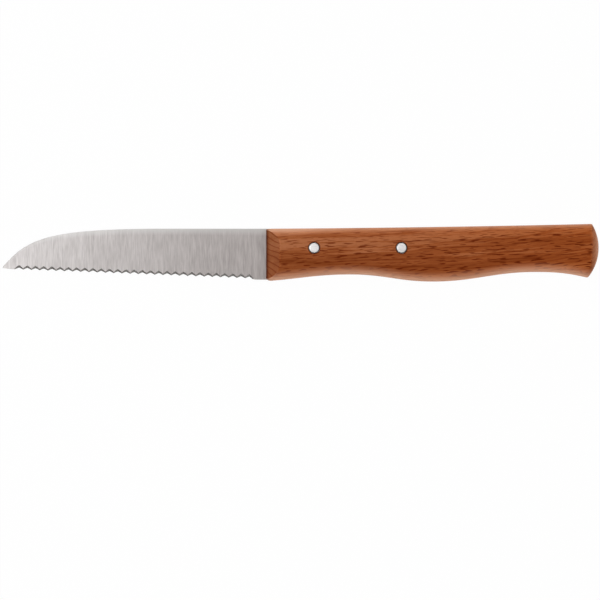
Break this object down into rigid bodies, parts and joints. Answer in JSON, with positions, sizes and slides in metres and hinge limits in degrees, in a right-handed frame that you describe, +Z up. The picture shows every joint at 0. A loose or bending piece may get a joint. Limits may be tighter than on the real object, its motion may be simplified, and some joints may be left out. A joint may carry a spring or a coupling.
{
  "type": "vegetable knife",
  "caption": "Small vegetable knife with a thin wavy-edged steel blade, whose tang is riveted into a slot in a curved one-piece wooden handle.",
  "frame": {"origin": "middle of the knife's box, on the surface that it lies on", "axes": "+X along the knife from the tip to the butt, +Y from the cutting edge to the spine, +Z up across the thickness, with the knife lying on its side"},
  "size_m": [0.193, 0.0186, 0.012],
  "materials": {
    "blade_steel": "stainless steel, ground across the blade to a fine satin",
    "handle_wood": "steamed beech, sanded and oiled",
    "rivet_metal": "solid aluminium, sanded flush with the wood"
  },
  "bodies": {
    "root": {"blade": "blade_steel", "handle": "handle_wood", "rivet_front": "rivet_metal", "rivet_rear": "rivet_metal"}
  },
  "joints": []
}
